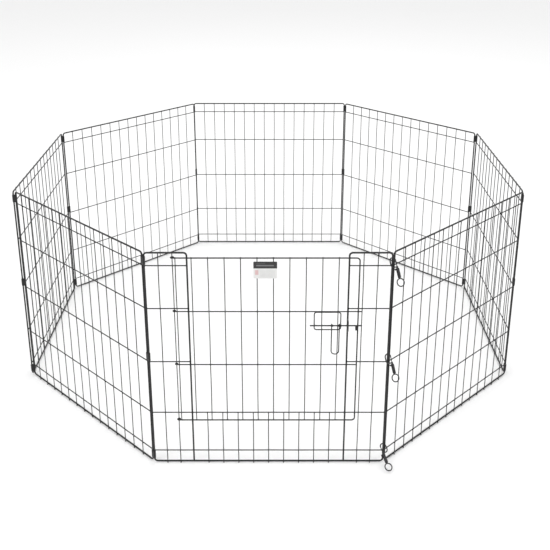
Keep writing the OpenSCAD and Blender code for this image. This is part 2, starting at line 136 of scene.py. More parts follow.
class PlaypenPartSettings(bpy.types.PropertyGroup):
    clip_height: bpy.props.FloatProperty(
        name="Clip height", description="Height of a hinge clip", default=0.022, unit="LENGTH")
    clip_wall: bpy.props.FloatProperty(
        name="Clip wall", description="Thickness of the strip that a clip is pressed from",
        default=0.0011, unit="LENGTH")
    clip_play: bpy.props.FloatProperty(
        name="Clip play", description="Play between a clip and the wires in it",
        default=0.00022, unit="LENGTH")
    first_door_gap: bpy.props.FloatProperty(
        name="First door gap", description="From the hinge wire to the first even upright of the door",
        default=0.046, unit="LENGTH")
    tag_corner: bpy.props.FloatProperty(
        name="Tag corner", description="Radius of the corners of the tag", default=0.0025, unit="LENGTH")


class PlaypenFinishSettings(bpy.types.PropertyGroup):
    coat: bpy.props.FloatVectorProperty(
        name="Coat", description="Colour of the black coat on the wires", subtype="COLOR",
        default=(0.0055, 0.0055, 0.006))
    clip: bpy.props.FloatVectorProperty(
        name="Clips", description="Colour of the coat on the hinge clips", subtype="COLOR",
        default=(0.0045, 0.0045, 0.005))
    bare: bpy.props.FloatVectorProperty(
        name="Bare steel", description="Colour where the coat is worn through", subtype="COLOR",
        default=(0.30, 0.295, 0.285))
    snap: bpy.props.FloatVectorProperty(
        name="Snap hooks", description="Colour of the plated snap hooks", subtype="COLOR",
        default=(0.028, 0.028, 0.030))
    tag: bpy.props.FloatVectorProperty(
        name="Tag", description="Ground colour of the tag", subtype="COLOR", default=(0.68, 0.68, 0.67))
    band: bpy.props.FloatVectorProperty(
        name="Tag band", description="Colour of the band on the tag", subtype="COLOR",
        default=(0.018, 0.017, 0.018))
    mark: bpy.props.FloatVectorProperty(
        name="Tag mark", description="Colour of the mark on the tag", subtype="COLOR",
        default=(0.55, 0.20, 0.21))


class PlaypenStageSettings(bpy.types.PropertyGroup):
    floor: bpy.props.FloatVectorProperty(
        name="Floor", description="Colour of the floor", subtype="COLOR", default=(0.93, 0.93, 0.93))
    sky: bpy.props.FloatProperty(
        name="Sky", description="Strength of the light from all round", default=0.95)
    distance: bpy.props.FloatProperty(
        name="Distance", description="From the door panel to the camera", default=1.9211, unit="LENGTH")
    eye_height: bpy.props.FloatProperty(
        name="Eye height", description="Height of the camera", default=1.4612, unit="LENGTH")
    tilt: bpy.props.FloatProperty(
        name="Tilt", description="How far the camera looks down", default=math.radians(19.97),
        subtype="ANGLE")
    lens: bpy.props.FloatProperty(
        name="Lens", description="Focal length in millimetres", default=56.61)


# Geometry

def panel_place(i):
    """Matrix from the coordinates of panel i to the model's."""
    spot = Matrix.Translation((middle(f"frame_{i}", 0), middle(f"frame_{i}", 1), 0))
    return spot @ Matrix.Rotation(-TURN * (i - 1), 4, "Z")


def fillet(corners, radius, steps=6, closed=False):
    """Points along straight runs with a bend of this radius at each corner."""
    points = []
    count = len(corners)
    for k, corner in enumerate(corners):
        if not closed and k in (0, count - 1):
            points.append(corner)
            continue
        back = (corners[k - 1] - corner).normalized()
        ahead = (corners[(k + 1) % count] - corner).normalized()
        opening = back.angle(ahead)
        reach = radius / math.tan(opening / 2)
        centre = corner + (back + ahead).normalized() * (radius / math.sin(opening / 2))
        start = corner + back * reach - centre
        axis = start.cross(corner + ahead * reach - centre).normalized()
        for step in range(steps + 1):
            swing = Quaternion(axis, (math.pi - opening) * step / steps)
            points.append(centre + swing @ start)
    return points


def arc(centre, radius, first, last, steps, across, up):
    """Points on an arc; across and up are the directions of angles 0 and 90 degrees."""
    points = []
    for step in range(steps + 1):
        angle = math.radians(first + (last - first) * step / steps)
        points.append(centre + across * (radius * math.cos(angle)) + up * (radius * math.sin(angle)))
    return points


def bowed(start, end, fixed, amount, rng, ways):
    """A wire from start to end that strays a little between the fixed heights or places along it."""
    run = end - start
    marks = sorted({0.0, 1.0, *[min(max(place, 0.0), 1.0) for place in fixed]})
    points = []
    for low, high in zip(marks, marks[1:]):
        stray = [rng.uniform(least, most) * amount for least, most in ((-1, 1), (0, 0.5))]
        reach = min(1.0, (high - low) * run.length / 0.1)
        for step in range(4):
            t = step / 4
            swell = math.sin(math.pi * t) ** 2 * reach
            place = start + run * (low + (high - low) * t)
            points.append(place + ways[0] * (stray[0] * swell) + ways[1] * (stray[1] * swell))
    points.append(end)
    return points


def sweep(bm, points, radius, sides, place, closed=False):
    """Round wire along points, with bevelled ends. radius is one value, or one for each point."""
    count = len(points)
    radii = list(radius) if isinstance(radius, (list, tuple)) else [radius] * count
    points = list(points)
    if not closed:
        for at, inner in ((0, 1), (-1, -2)):
            run = points[inner] - points[at]
            step = min(radii[at] * 0.3, run.length * 0.4)
            extra = points[at] + run.normalized() * step
            if at == 0:
                points.insert(1, extra)
                radii.insert(1, radii[0])
                radii[0] *= 0.74
            else:
                points.insert(len(points) - 1, extra)
                radii.insert(len(radii) - 1, radii[-1])
                radii[-1] *= 0.74
        count = len(points)
    tangents = []
    for k in range(count):
        if closed:
            ahead, back = points[(k + 1) % count], points[k - 1]
        else:
            ahead, back = points[min(k + 1, count - 1)], points[max(k - 1, 0)]
        tangents.append((ahead - back).normalized())
    side = tangents[0].orthogonal().normalized()
    rings = []
    for k, point in enumerate(points):
        if k:
            side = tangents[k - 1].rotation_difference(tangents[k]) @ side
        side = (side - tangents[k] * side.dot(tangents[k])).normalized()
        other = tangents[k].cross(side)
        ring = []
        for s in range(sides):
            angle = 2 * math.pi * s / sides
            offset = (side * math.cos(angle) + other * math.sin(angle)) * radii[k]
            ring.append(bm.verts.new(place @ (point + offset)))
        rings.append(ring)
    joins = list(zip(rings, rings[1:]))
    if closed:
        joins.append((rings[-1], rings[0]))
    for ring, following in joins:
        for s in range(sides):
            face = bm.faces.new((ring[s], ring[(s + 1) % sides], following[(s + 1) % sides], following[s]))
            face.smooth = True
    if not closed:
        bm.faces.new(list(reversed(rings[0])))
        bm.faces.new(rings[-1])


def weld_bead(bm, spot, size, place, rng):
    """Small uneven bead of weld, size giving its three radii."""
    uneven = Vector([value * rng.uniform(0.85, 1.12) for value in size])
    matrix = place @ Matrix.Translation(spot) @ Matrix.Diagonal((*uneven, 1))
    bead = bmesh.ops.create_uvsphere(bm, u_segments=8, v_segments=5, radius=1, matrix=matrix)
    for vert in bead["verts"]:
        for face in vert.link_faces:
            face.smooth = True


def make_piece(name, bm, material, body, slot, *nodes):
    """Turns a bmesh into a piece that rides on a body and stands for these nodes."""
    bmesh.ops.recalc_face_normals(bm, faces=bm.faces)
    mesh = bpy.data.meshes.new(name)
    bm.to_mesh(mesh)
    bm.free()
    mesh.materials.append(material)
    piece = bpy.data.objects.new(name, mesh)
    bpy.context.scene.collection.objects.link(piece)
    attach(piece, body)
    if nodes:
        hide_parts(*nodes)
    return piece


def refinish(node, material, bevel=0.0):
    """Gives a node that stays a finish and, where it has sharp edges, a small bevel."""
    piece = frame["nodes"][node]
    if not piece.material_slots:
        piece.data.materials.append(material)
    for slot in piece.material_slots:
        slot.material = material
    if bevel:
        weld = piece.modifiers.new("joined edges", "WELD")
        weld.merge_threshold = 0.000002
        soft = piece.modifiers.new("eased edges", "BEVEL")
        soft.width = bevel
        soft.segments = 2
        soft.limit_method = "ANGLE"
        soft.angle_limit = math.radians(38)
        soft.harden_normals = True


# Finishes

class Level:
    """A number that changes over a surface. Sums and products on it become Math nodes."""

    def __init__(self, tree, socket):
        self.tree = tree
        self.socket = socket

    def joined(self, operation, *terms):
        node = self.tree.nodes.new("ShaderNodeMath")
        node.operation = operation
        for entry, term in zip(node.inputs, terms):
            if isinstance(term, Level):
                self.tree.links.new(term.socket, entry)
            else:
                entry.default_value = term
        return Level(self.tree, node.outputs[0])

    def __add__(self, other):
        return self.joined("ADD", self, other)

    def __radd__(self, other):
        return self.joined("ADD", other, self)

    def __sub__(self, other):
        return self.joined("SUBTRACT", self, other)

    def __rsub__(self, other):
        return self.joined("SUBTRACT", other, self)

    def __mul__(self, other):
        return self.joined("MULTIPLY", self, other)

    def __rmul__(self, other):
        return self.joined("MULTIPLY", other, self)

    def above(self, edge, soft):
        """1 where this is over the edge, 0 under it, with a soft step."""
        ramp = (self - (edge - soft)) * (1 / (2 * soft))
        return self.joined("MINIMUM", self.joined("MAXIMUM", ramp, 0.0), 1.0)

    def fraction(self):
        """What is left over a whole number."""
        return self.joined("FRACT", self)

    def between(self, low, high, soft):
        """1 from low to high, 0 outside."""
        return self.above(low, soft) * (1 - self.above(high, soft))


class Finish:
    """A material and the nodes that make it."""

    def __init__(self, name):
        self.material = bpy.data.materials.new(name)
        self.material.use_nodes = True
        self.tree = self.material.node_tree
        self.tree.nodes.clear()
        self.shader = self.tree.nodes.new("ShaderNodeBsdfPrincipled")
        output = self.tree.nodes.new("ShaderNodeOutputMaterial")
        self.tree.links.new(self.shader.outputs[0], output.inputs[0])
        self.place = self.node("ShaderNodeTexCoord", {}, {}, "Object")

    def node(self, kind, settings, values, output=0):
        """Adds a node: its settings first, then the values or links of its sockets. Returns one output."""
        node = self.tree.nodes.new(kind)
        for name, setting in settings.items():
            setattr(node, name, setting)
        for name, value in values.items():
            self.feed(node.inputs[name], value)
        return node.outputs[output]

    def feed(self, entry, value):
        """Links or sets one socket."""
        if isinstance(value, Level):
            self.tree.links.new(value.socket, entry)
        elif isinstance(value, bpy.types.NodeSocket):
            self.tree.links.new(value, entry)
        else:
            entry.default_value = value

    def noise(self, scale, detail=3.0, roughness=0.55, stretch=(1, 1, 1)):
        """Cloudy numbers from 0 to 1, with scale in waves per metre."""
        place = self.node("ShaderNodeVectorMath", {"operation": "MULTIPLY"}, {0: self.place, 1: stretch})
        values = {"Vector": place, "Scale": scale, "Detail": detail, "Roughness": roughness}
        return Level(self.tree, self.node("ShaderNodeTexNoise", {}, values))

    def part(self, axis):
        """One coordinate of the place on the piece."""
        return Level(self.tree, self.node("ShaderNodeSeparateXYZ", {}, {0: self.place}, axis))

    def mix(self, factor, first, second):
        """Colour that goes from first to second with the factor."""
        colours = [(*value, 1) if isinstance(value, tuple) else value for value in (first, second)]
        values = {0: factor, 6: colours[0], 7: colours[1]}
        return self.node("ShaderNodeMix", {"data_type": "RGBA"}, values, 2)

    def bump(self, height, distance, strength=1.0):
        """Normal of a surface with this height."""
        values = {"Height": height, "Distance": distance, "Strength": strength}
        return self.node("ShaderNodeBump", {}, values)

    def set(self, **sockets):
        """Sets or links sockets of the shader, with underscores for spaces."""
        for name, value in sockets.items():
            self.feed(self.shader.inputs[name.replace("_", " ")], value)
        return self.material


def scaled(colour, factor, lift=0.0):
    """A colour made brighter or darker."""
    return tuple(value * factor + lift for value in colour)


def known(name, maker):
    """A finish by name, made the first time it is asked for."""
    return bpy.data.materials.get(name) or maker(name)


def black_coat(name, colour, gloss, wear, metal=0.0):
    """Black coat on steel wire: cloudy satin, fine orange peel, dust, and small chips down to the steel."""
    finish = Finish(name)
    settings = bpy.context.scene.playpen_finish
    cloud = finish.noise(26, 3)
    film = finish.noise(140, 4, 0.6, (1, 1, 0.35))
    peel = finish.noise(1500, 2)
    grit = finish.noise(420, 5, 0.7)
    dust = film.above(0.56, 0.14) * 0.5
    chips = (grit + cloud * 0.25).above(wear, 0.012)
    body = finish.mix(cloud, scaled(colour, 0.75), scaled(colour, 1.5))
    coated = finish.mix(dust, body, scaled(colour, 1.2, 0.009))
    worn = finish.mix(chips, coated, tuple(settings.bare))
    height = peel * 0.35 + film * 0.4 - chips * 1.0
    return finish.set(
        Base_Color=worn,
        Roughness=gloss + (film - 0.5) * 0.22 + chips * 0.15,
        Metallic=metal + chips * (1 - metal),
        Normal=finish.bump(height, 0.00006, 0.7),
        Coat_Roughness=0.22,
        Coat_Weight=0.12 - chips * 0.12,
        Specular_IOR_Level=0.3,
    )


def wire_finish():
    settings = bpy.context.scene.playpen_finish
    return known("outer_wire_coat", lambda name: black_coat(name, tuple(settings.coat), 0.36, 0.83))


def thin_wire_finish():
    settings = bpy.context.scene.playpen_finish
    lighter = scaled(settings.coat, 1.15)
    return known("thin_wire_coat", lambda name: black_coat(name, lighter, 0.40, 0.84))


def clip_finish():
    settings = bpy.context.scene.playpen_finish
    return known("clip_coat", lambda name: black_coat(name, tuple(settings.clip), 0.33, 0.80))


def latch_finish():
    settings = bpy.context.scene.playpen_finish
    return known("latch_coat", lambda name: black_coat(name, tuple(settings.coat), 0.34, 0.79))


def plated(name, colour, bare, shine, worn_at):
    """Dark plated casting: soft metal gloss, rubbed brighter in patches, with faint casting grain."""
    finish = Finish(name)
    cloud = finish.noise(120, 4, 0.6)
    grain = finish.noise(1900, 3, 0.6)
    scratch = finish.noise(900, 2, 0.5, (1, 1, 0.08))
    rub = cloud.above(worn_at, 0.10)
    shade = finish.mix(cloud, scaled(colour, 0.7), scaled(colour, 1.5))
    return finish.set(
        Base_Color=finish.mix(rub * 0.6, shade, bare),
        Metallic=0.75 + rub * 0.25,
        Roughness=shine + (grain - 0.5) * 0.12 + (scratch - 0.5) * 0.14,
        Normal=finish.bump(grain * 0.6 + scratch * 0.4, 0.00005, 0.6),
    )


def snap_finish():
    settings = bpy.context.scene.playpen_finish
    rubbed = (0.16, 0.155, 0.15)
    return known("snap_plating", lambda name: plated(name, tuple(settings.snap), rubbed, 0.34, 0.62))


def gate_finish():
    settings = bpy.context.scene.playpen_finish
    bright = scaled(settings.snap, 1.5)
    rubbed = (0.25, 0.245, 0.24)
    return known("gate_plating", lambda name: plated(name, bright, rubbed, 0.28, 0.55))


def spring_finish():
    steel = (0.30, 0.30, 0.31)
    rubbed = (0.48, 0.48, 0.48)
    return known("spring_steel", lambda name: plated(name, steel, rubbed, 0.27, 0.5))


def moulded(name):
    """Dark moulded plastic with a fine spark-eroded grain."""
    finish = Finish(name)
    cloud = finish.noise(90, 3)
    grain = finish.noise(2600, 3, 0.7)
    return finish.set(
        Base_Color=finish.mix(cloud, (0.018, 0.018, 0.019), (0.034, 0.034, 0.035)),
        Roughness=0.5 + (grain - 0.5) * 0.25,
        Normal=finish.bump(grain, 0.00004, 0.7),
    )


def printed_tag(name):
    """Light plastic tag with a dark band, a pale rule on it, and a small soft mark below: no lettering."""
    finish = Finish(name)
    settings = bpy.context.scene.playpen_finish
    low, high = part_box("tag_plate")
    wide = high[0] - low[0]
    tall = high[2] - low[2]
    across = (finish.part(0) - low[0]) * (1 / wide)
    up = (finish.part(2) - low[2]) * (1 / tall)
    fleck = finish.noise(2400, 2)
    cloud = finish.noise(60, 4)
    scuff = finish.noise(700, 3, 0.6, (0.1, 1, 1))
    ground = finish.mix(cloud.above(0.55, 0.2) * 0.6, tuple(settings.tag), scaled(settings.tag, 0.86))
    band = up.above(0.6, 0.008)
    rule = up.between(0.735, 0.80, 0.006) * across.between(0.12, 0.86, 0.006)
    thin = up.between(0.875, 0.893, 0.004) * across.between(0.12, 0.5, 0.004)
    patch = across.between(0.07, 0.21, 0.008) * up.between(0.22, 0.5, 0.012)
    panel = across.between(0.27, 0.93, 0.005) * up.between(0.1, 0.5, 0.007)
    rows = panel * (up * ROWS_IN_TAG).fraction().above(0.62, 0.06)
    shade = finish.mix(rows * 0.30, ground, (0.30, 0.30, 0.31))
    shade = finish.mix(patch * (0.55 + (cloud - 0.5) * 0.3), shade, tuple(settings.mark))
    shade = finish.mix(band, shade, tuple(settings.band))
    shade = finish.mix(rule * 0.45, shade, (0.34, 0.34, 0.35))
    shade = finish.mix(thin * 0.35, shade, (0.30, 0.30, 0.31))
    shade = finish.mix(scuff.above(0.70, 0.05) * 0.25, shade, (0.55, 0.55, 0.54))
    return finish.set(
        Base_Color=shade,
        Roughness=0.42 + (scuff - 0.5) * 0.25 - band * 0.08,
        Normal=finish.bump(fleck * 0.3 + scuff * 0.5 + band * 0.3, 0.00003, 0.5),
    )


# Pieces

class PLAYPEN_OT_plain_panels(bpy.types.Operator):
    """Makes the outer wire, uprights and level wires of the seven plain panels"""
    bl_idname = "playpen.plain_panels"
    bl_label = "Plain panels"

    def execute(self, context):
        for i in range(2, PANEL_COUNT + 1):
            place = panel_place(i)
            rng = random.Random(100 + i)
            self.outer_wire(context, i, place, rng)
            self.uprights(context, i, place, rng)
            self.level_wires(context, i, place, rng)
        return {"FINISHED"}

    def outer_wire(self, context, i, place, rng):
        wires = context.scene.playpen_wires
        corners = [
            Vector((-EDGE, 0, LOW_Z)), Vector((EDGE, 0, LOW_Z)),
            Vector((EDGE, 0, HIGH_Z)), Vector((-EDGE, 0, HIGH_Z)),
        ]
        points = fillet(corners, wires.corner_bend, 7, closed=True)
        bm = bmesh.new()
        sweep(bm, points, OUTER_R, wires.sides + 4, place, closed=True)
        butt = rng.uniform(-0.1, 0.1)
        swell = [Vector((butt + dx, 0, LOW_Z)) for dx in (-0.0026, -0.0012, 0.0012, 0.0026)]
        sweep(bm, swell, [OUTER_R * 1.01, OUTER_R * 1.09, OUTER_R * 1.07, OUTER_R * 1.01], 16, place)
        for side in (-1, 1):
            for z in LEVELS:
                spot = (side * (EDGE - OUTER_R), LEVEL_Y, z)
                weld_bead(bm, spot, SIDE_BEAD, place, rng)
        name = f"panel_{i}_outer_wire"
        make_piece(name, bm, wire_finish(), f"panel_{i}", "frame_wire", f"frame_{i}")

    def uprights(self, context, i, place, rng):
        wires = context.scene.playpen_wires
        step = 2 * EDGE / wires.gap_count
        bm = bmesh.new()
        for k in range(1, wires.gap_count):
            x = k * step - EDGE
            upright(bm, wires, x, UPRIGHT_Y, FOOT_Z, TIP_Z, [LOW_Z, *LEVELS, HIGH_Z], place, rng, 0)
        make_piece(f"panel_{i}_uprights", bm, thin_wire_finish(), f"panel_{i}", "thin_wire", f"uprights_{i}")

    def level_wires(self, context, i, place, rng):
        wires = context.scene.playpen_wires
        reach = EDGE - OUTER_R
        bm = bmesh.new()
        for z in LEVELS:
            level_wire(bm, wires, -reach, reach, LEVEL_Y, z, LEVEL_R, place, rng)
        name = f"panel_{i}_level_wires"
        make_piece(name, bm, thin_wire_finish(), f"panel_{i}", "thin_wire", f"cross_wires_{i}")


def upright(bm, wires, x, y, low, high, welds, place, rng, bead_side):
    """One upright and its weld beads, on its inner side if bead_side is 0 and its outer side if 1."""
    start = Vector((x, y, low))
    end = Vector((x, y, high))
    fixed = [(z - low) / (high - low) for z in welds]
    ways = (Vector((1, 0, 0)), Vector((0, 1, 0)))
    sweep(bm, bowed(start, end, fixed, wires.bow, rng, ways), UPRIGHT_R, wires.sides - 2, place)
    touch = y + (UPRIGHT_R if bead_side == 0 else -UPRIGHT_R)
    for z in welds:
        weld_bead(bm, (x, touch, z), (wires.bead, 0.0007, wires.bead), place, rng)


def level_wire(bm, wires, start, end, y, z, radius, place, rng):
    """One level wire."""
    count = max(2, round(abs(end - start) / 0.08))
    fixed = [k / count for k in range(1, count)]
    ways = (Vector((0, 0, 1)), Vector((0, 1, 0)))
    run = bowed(Vector((start, y, z)), Vector((end, y, z)), fixed, wires.bow * 0.5, rng, ways)
    sweep(bm, run, radius, wires.sides, place)


class PLAYPEN_OT_door_panel(bpy.types.Operator):
    """Makes the wires of the panel that holds the door"""
    bl_idname = "playpen.door_panel"
    bl_label = "Door panel"

    def execute(self, context):
        wires = context.scene.playpen_wires
        place = panel_place(1)
        rng = random.Random(11)
        self.outer_wire(wires, place, rng)
        self.side_wires(wires, place, rng, "left", -1)
        self.side_wires(wires, place, rng, "right", 1)
        self.low_wires(wires, place, rng)
        return {"FINISHED"}

    def outer_wire(self, wires, place, rng):
        """One wire, from the foot of one post round the whole panel to the foot of the other."""
        foot = LOW_Z + OUTER_R * 0.8
        corners = [
            Vector((-POST_X, 0, foot)), Vector((-POST_X, 0, HIGH_Z)), Vector((-EDGE, 0, HIGH_Z)),
            Vector((-EDGE, 0, LOW_Z)), Vector((EDGE, 0, LOW_Z)), Vector((EDGE, 0, HIGH_Z)),
            Vector((POST_X, 0, HIGH_Z)), Vector((POST_X, 0, foot)),
        ]
        bm = bmesh.new()
        sweep(bm, fillet(corners, wires.corner_bend, 7), OUTER_R, wires.sides + 4, place)
        for side in (-1, 1):
            weld_bead(bm, (side * POST_X, 0, foot), (0.0031, 0.0026, 0.0013), place, rng)
            for z in LEVELS:
                weld_bead(bm, (side * (EDGE - OUTER_R), LEVEL_Y, z), SIDE_BEAD, place, rng)
                weld_bead(bm, (side * (POST_X + OUTER_R), LEVEL_Y, z), SIDE_BEAD, place, rng)
            for z in LEVELS[3:]:
                weld_bead(bm, (side * (POST_X - OUTER_R), LEVEL_Y, z), SIDE_BEAD, place, rng)
        make_piece("panel_1_outer_wire", bm, wire_finish(), "panel_1", "frame_wire", "frame_1")

    def side_wires(self, wires, place, rng, word, side):
        """The two uprights and three short level wires beside the doorway."""
        low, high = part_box(f"{word}_uprights_1")
        bm = bmesh.new()
        for x in (low[0] + UPRIGHT_R - FRONT_X, high[0] - UPRIGHT_R - FRONT_X):
            upright(bm, wires, x, UPRIGHT_Y, FOOT_Z, TIP_Z, [LOW_Z, *LEVELS, HIGH_Z], place, rng, 0)
        name = f"panel_1_{word}_uprights"
        make_piece(name, bm, thin_wire_finish(), "panel_1", "thin_wire", f"{word}_uprights_1")
        bm = bmesh.new()
        for z in LEVELS[:3]:
            near = side * (POST_X + OUTER_R)
            far = side * (EDGE - OUTER_R)
            level_wire(bm, wires, near, far, LEVEL_Y, z, LEVEL_R, place, rng)
        name = f"panel_1_{word}_level_wires"
        make_piece(name, bm, thin_wire_finish(), "panel_1", "thin_wire", f"{word}_cross_wires_1")

    def low_wires(self, wires, place, rng):
        """The wires below the doorway."""
        low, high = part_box("short_uprights_1")
        first = low[0] + UPRIGHT_R - FRONT_X
        last = high[0] - UPRIGHT_R - FRONT_X
        bm = bmesh.new()
        for k in range(9):
            x = first + (last - first) * k / 8
            upright(bm, wires, x, UPRIGHT_Y, FOOT_Z, high[2], [LOW_Z, LEVELS[4], LEVELS[3]], place, rng, 0)
        name = "panel_1_short_uprights"
        make_piece(name, bm, thin_wire_finish(), "panel_1", "thin_wire", "short_uprights_1")
        runs = [(-EDGE, -POST_X), (-POST_X, POST_X), (POST_X, EDGE)]
        bm = bmesh.new()
        for z in LEVELS[3:]:
            for start, end in runs:
                level_wire(bm, wires, start + OUTER_R, end - OUTER_R, LEVEL_Y, z, LEVEL_R, place, rng)
        name = "panel_1_low_level_wires"
        make_piece(name, bm, thin_wire_finish(), "panel_1", "thin_wire", "low_cross_wires_1")


class PLAYPEN_OT_hinge_clips(bpy.types.Operator):
    """Makes the pressed strip clips that hold the outer wires of two panels together"""
    bl_idname = "playpen.hinge_clips"
    bl_label = "Hinge clips"

    def execute(self, context):
        parts = context.scene.playpen_parts
        held = frame["record"]["behaviour"]["bodies"]
        bodies = {node: body for body, nodes in held.items() for node in nodes}
        for i in range(1, PANEL_COUNT):
            node = f"hinge_clips_{i}"
            near = panel_place(i) @ Vector((-EDGE, 0, 0))
            far = panel_place(i + 1) @ Vector((EDGE, 0, 0))
            low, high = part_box(node)
            heights = [low[2], LEVELS[2] + LEVEL_R + 0.001, high[2] - parts.clip_height]
            rng = random.Random(700 + i)
            bm = bmesh.new()
            for foot in heights:
                self.clip(bm, parts, near, far, foot, rng)
            make_piece(f"clips_{i}", bm, clip_finish(), bodies[node], "clip", node)
        return {"FINISHED"}

    def outline(self, gap, radius, waist, steps):
        """Half outline round one wire, from the waist on one side to the waist on the other."""
        points = []
        for k in range(steps + 1):
            angle = math.radians(-118 + 236 * k / steps)
            points.append(Vector((gap / 2 + radius * math.cos(angle), radius * math.sin(angle))))
        points.insert(0, Vector((0, -waist)))
        points.append(Vector((0, waist)))
        return points

    def clip(self, bm, parts, near, far, foot, rng):
        """A strip bent round both wires, pinched between them, with its seam at the pinch."""
        gap = (far - near).length
        bore = OUTER_R + parts.clip_play
        shell = bore + parts.clip_wall
        tilt = math.atan2(far.y - near.y, far.x - near.x)
        centre = (near + far) / 2
        place = Matrix.Translation((centre.x, centre.y, foot)) @ Matrix.Rotation(tilt, 4, "Z")
        ease = 0.00035
        tall = parts.clip_height
        waist = shell * CLIP_WAIST
        layers = [
            (0, ease), (ease, 0), (tall * 0.25, 0), (tall * 0.5, 0), (tall * 0.75, 0),
            (tall - ease, 0), (tall, ease),
        ]
        pinch = rng.uniform(0.0002, 0.0005)
        rings = []
        for z, back in layers:
            dent = pinch * math.sin(math.pi * z / tall)
            outer = self.outline(gap, shell - back, waist - back - dent, 12)
            inner = self.outline(gap, bore + back * 0.5, waist - parts.clip_wall - dent, 12)
            outer += [Vector((-p.x, -p.y)) for p in outer[1:-1]]
            inner += [Vector((-p.x, -p.y)) for p in inner[1:-1]]
            rings.append((self.ring(bm, outer, z, place), self.ring(bm, inner, z, place)))
        count = len(rings[0][0])
        for (outer, inner), (outer_up, inner_up) in zip(rings, rings[1:]):
            for k in range(count):
                n = (k + 1) % count
                bm.faces.new((outer[k], outer[n], outer_up[n], outer_up[k])).smooth = True
                bm.faces.new((inner[n], inner[k], inner_up[k], inner_up[n])).smooth = True
        for outer, inner in (rings[0], rings[-1]):
            for k in range(count):
                n = (k + 1) % count
                bm.faces.new((outer[k], outer[n], inner[n], inner[k]))
        self.seam(bm, place, waist, tall, ease)

    def seam(self, bm, place, depth, tall, ease):
        """Raised lips where the two ends of the strip meet."""
        for side in (-1, 1):
            low = Vector((side * 0.00042, -depth + 0.00002, ease * 2))
            high = Vector((side * 0.00042, -depth + 0.00002, tall - ease * 2))
            sweep(bm, [low, (low + high) / 2, high], 0.00036, 8, place)

    def ring(self, bm, outline, z, place):
        return [bm.verts.new(place @ Vector((p.x, p.y, z))) for p in outline]


class PLAYPEN_OT_door(bpy.types.Operator):
    """Makes the wires of the door, with the eyes that turn on an upright of the panel"""
    bl_idname = "playpen.door"
    bl_label = "Door"

    def execute(self, context):
        wires = context.scene.playpen_wires
        parts = context.scene.playpen_parts
        place = panel_place(1)
        rng = random.Random(23)
        low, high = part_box("door_frame")
        self.right = high[0] - DOOR_R - FRONT_X
        self.top = high[2] - DOOR_R
        self.foot = low[2] + DOOR_R
        cross_low, cross_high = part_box("door_cross_wires")
        self.cross_r = half("door_cross_wires", 1)
        self.cross_y = middle("door_cross_wires", 1) - FRONT_Y
        self.levels = [cross_high[2] - self.cross_r, cross_low[2] + self.cross_r]
        self.stub = cross_high[0] - FRONT_X
        self.outer_wire(wires, place, rng)
        self.level_wires(wires, place, rng)
        self.uprights(wires, parts, place, rng)
        return {"FINISHED"}

    def eye(self, z, y, radius):
        """Points of the eye round the hinge wire, ending where the straight wire starts."""
        centre = Vector((HINGE_X, UPRIGHT_Y, z))
        return arc(centre, radius, 12, 270, 16, Vector((1, 0, 0)), Vector((0, 1, 0)))

    def outer_wire(self, wires, place, rng):
        eye_r = UPRIGHT_Y - DOOR_Y
        straight = [
            Vector((HINGE_X, DOOR_Y, self.top)), Vector((self.right, DOOR_Y, self.top)),
            Vector((self.right, DOOR_Y, self.foot)), Vector((HINGE_X, DOOR_Y, self.foot)),
        ]
        run = fillet(straight, wires.corner_bend, 7)
        upper = self.eye(self.top, DOOR_Y, eye_r)
        lower = self.eye(self.foot, DOOR_Y, eye_r)
        points = upper[:-1] + run + list(reversed(lower))[1:]
        bm = bmesh.new()
        sweep(bm, points, DOOR_R, wires.sides + 2, place)
        for z in self.levels:
            weld_bead(bm, (self.right - DOOR_R, self.cross_y, z), (0.0011, 0.0016, 0.0017), place, rng)
        nodes = ("door_frame", "door_hinge_eyes")
        make_piece("door_outer_wire", bm, wire_finish(), "door", "frame_wire", *nodes)

    def level_wires(self, wires, place, rng):
        bm = bmesh.new()
        for z in self.levels:
            eye = self.eye(z, self.cross_y, UPRIGHT_Y - self.cross_y)
            end = Vector((self.right - DOOR_R, self.cross_y, z))
            ways = (Vector((0, 0, 1)), Vector((0, 1, 0)))
            run = bowed(eye[-1], end, [0.25, 0.5, 0.75], wires.bow * 0.4, rng, ways)
            sweep(bm, eye[:-1] + run, self.cross_r, wires.sides, place)
        start = Vector((self.right + DOOR_R, self.cross_y, self.levels[0]))
        end = Vector((self.stub, self.cross_y, self.levels[0]))
        sweep(bm, [start, (start + end) / 2, end], self.cross_r, wires.sides, place)
        weld_bead(bm, start, (0.0009, 0.0016, 0.0016), place, rng)
        make_piece("door_level_wires", bm, thin_wire_finish(), "door", "thin_wire", "door_cross_wires")

    def uprights(self, wires, parts, place, rng):
        low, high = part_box("door_uprights")
        y = middle("door_uprights", 1) - FRONT_Y
        first = low[0] + UPRIGHT_R - FRONT_X
        even = HINGE_X + parts.first_door_gap
        last = high[0] - UPRIGHT_R - FRONT_X
        welds = [self.foot, self.levels[1], self.levels[0], self.top]
        bm = bmesh.new()
        for x in [first] + [even + (last - even) * k / 9 for k in range(10)]:
            upright(bm, wires, x, y, low[2], high[2], welds, place, rng, 1)
        make_piece("door_upright_wires", bm, thin_wire_finish(), "door", "thin_wire", "door_uprights")


